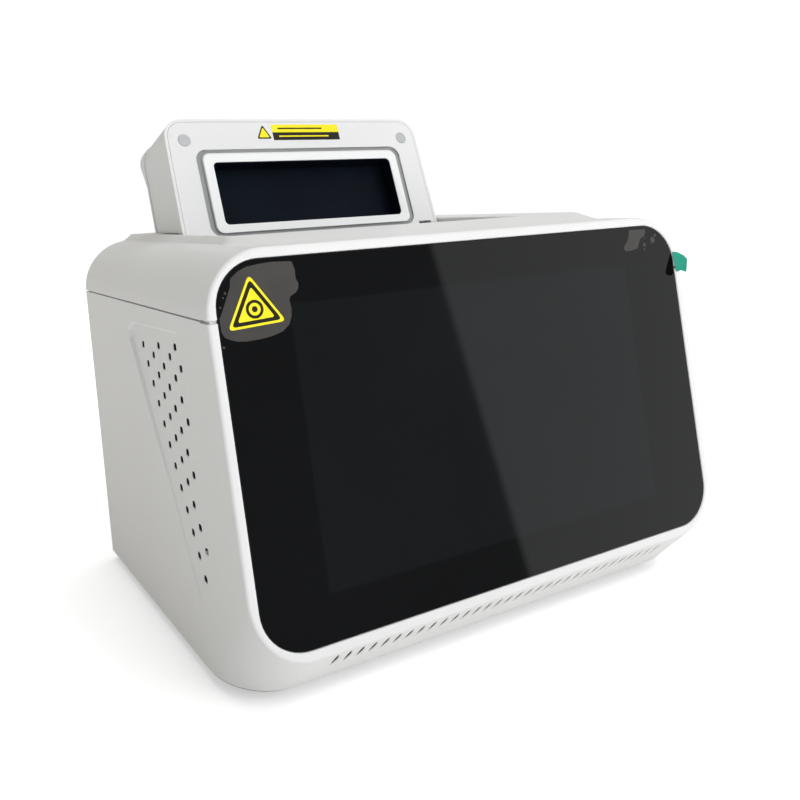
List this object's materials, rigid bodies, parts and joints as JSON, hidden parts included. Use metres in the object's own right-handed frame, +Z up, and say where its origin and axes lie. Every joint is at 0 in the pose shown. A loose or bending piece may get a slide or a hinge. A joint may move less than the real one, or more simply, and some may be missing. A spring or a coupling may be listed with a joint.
{
  "type": "thermal cycler",
  "caption": "Bench-top thermal cycler: screen-fronted case with a sample block under a hinged heated lid, rear fan, mains inlet and rocker switch.",
  "frame": {"origin": "centre of the footprint, on the surface the feet stand on", "axes": "+X to the right of a user facing the screen, +Y to the back, +Z up"},
  "size_m": [0.3044, 0.2587, 0.2928],
  "materials": {
    "white_plastic": "fine satin texture",
    "bright_plastic": "smooth satin",
    "grey_pad": "soft matt",
    "cover_glass": "polished, black printed back",
    "foam_tape": "closed-cell foam",
    "black_rubber": "matt",
    "black_plastic": "matt",
    "dark_anodised": "black anodised",
    "block_metal": "fine machined",
    "sheet_metal": "zinc plated sheet",
    "base_paint": "dark powder coat",
    "bright_steel": "polished",
    "circuit_board": "solder mask",
    "peltier_ceramic": "alumina"
  },
  "bodies": {
    "case": {"top_cover": "white_plastic", "lower_case": "white_plastic", "base_plate": "base_paint", "rear_panel": "sheet_metal", "touch_glass": "cover_glass", "glass_gasket": "foam_tape", "display_module": "sheet_metal", "display_bracket": "sheet_metal", "control_board": "circuit_board", "driver_board": "circuit_board", "power_supply": "sheet_metal", "sample_block": "block_metal", "block_gasket": "black_rubber", "peltier_modules": "peltier_ceramic", "heat_sink": "block_metal", "heat_sink_bracket": "sheet_metal", "air_duct": "black_plastic", "fan_frame": "black_plastic", "fan_guard": "bright_steel", "power_inlet": "black_plastic", "switch_frame": "black_plastic", "usb_port": "bright_steel", "lan_port": "bright_steel", "rubber_feet": "black_rubber", "base_screws": "bright_steel", "rear_screws": "bright_steel", "hinge_brackets": "bright_steel", "hinge_pin": "bright_steel", "recess_magnets": "bright_steel", "display_screws": "bright_steel", "cover_screws": "bright_steel", "guard_screws": "bright_steel"},
    "lid": {"lid_shell": "white_plastic", "lid_rear_cover": "white_plastic", "lid_face_plate": "white_plastic", "window_frame": "bright_plastic", "plate_liner": "black_plastic", "hot_plate_guides": "sheet_metal", "hot_plate_springs": "bright_steel", "lid_heater_board": "circuit_board", "lid_pads": "grey_pad", "lid_hinge_arms": "bright_steel", "lid_screws": "bright_steel"},
    "pressure_plate": {"hot_plate": "dark_anodised"},
    "fan_wheel": {"fan_rotor": "black_plastic"},
    "rocker": {"power_rocker": "black_plastic"}
  },
  "joints": [
    {"name": "lid_hinge", "type": "hinge", "parent": "case", "child": "lid", "pos_m": [0, 0.036, 0.217], "axis": [1, 0, 0], "range_deg": [0, 110.3]},
    {"name": "plate_press", "type": "slide", "parent": "lid", "child": "pressure_plate", "axis": [0, 0.9379, -0.3469], "range_m": [0, 0.003], "stiffness_N_per_m": 4000, "springref_m": -0.002},
    {"name": "fan_spin", "type": "hinge", "parent": "case", "child": "fan_wheel", "pos_m": [-0.024, 0.11285, 0.128], "axis": [0, 1, 0], "continuous": true},
    {"name": "power_switch", "type": "hinge", "parent": "case", "child": "rocker", "pos_m": [0.086, 0.12265, 0.092], "axis": [0, 0, 1], "range_deg": [0, 16]}
  ]
}
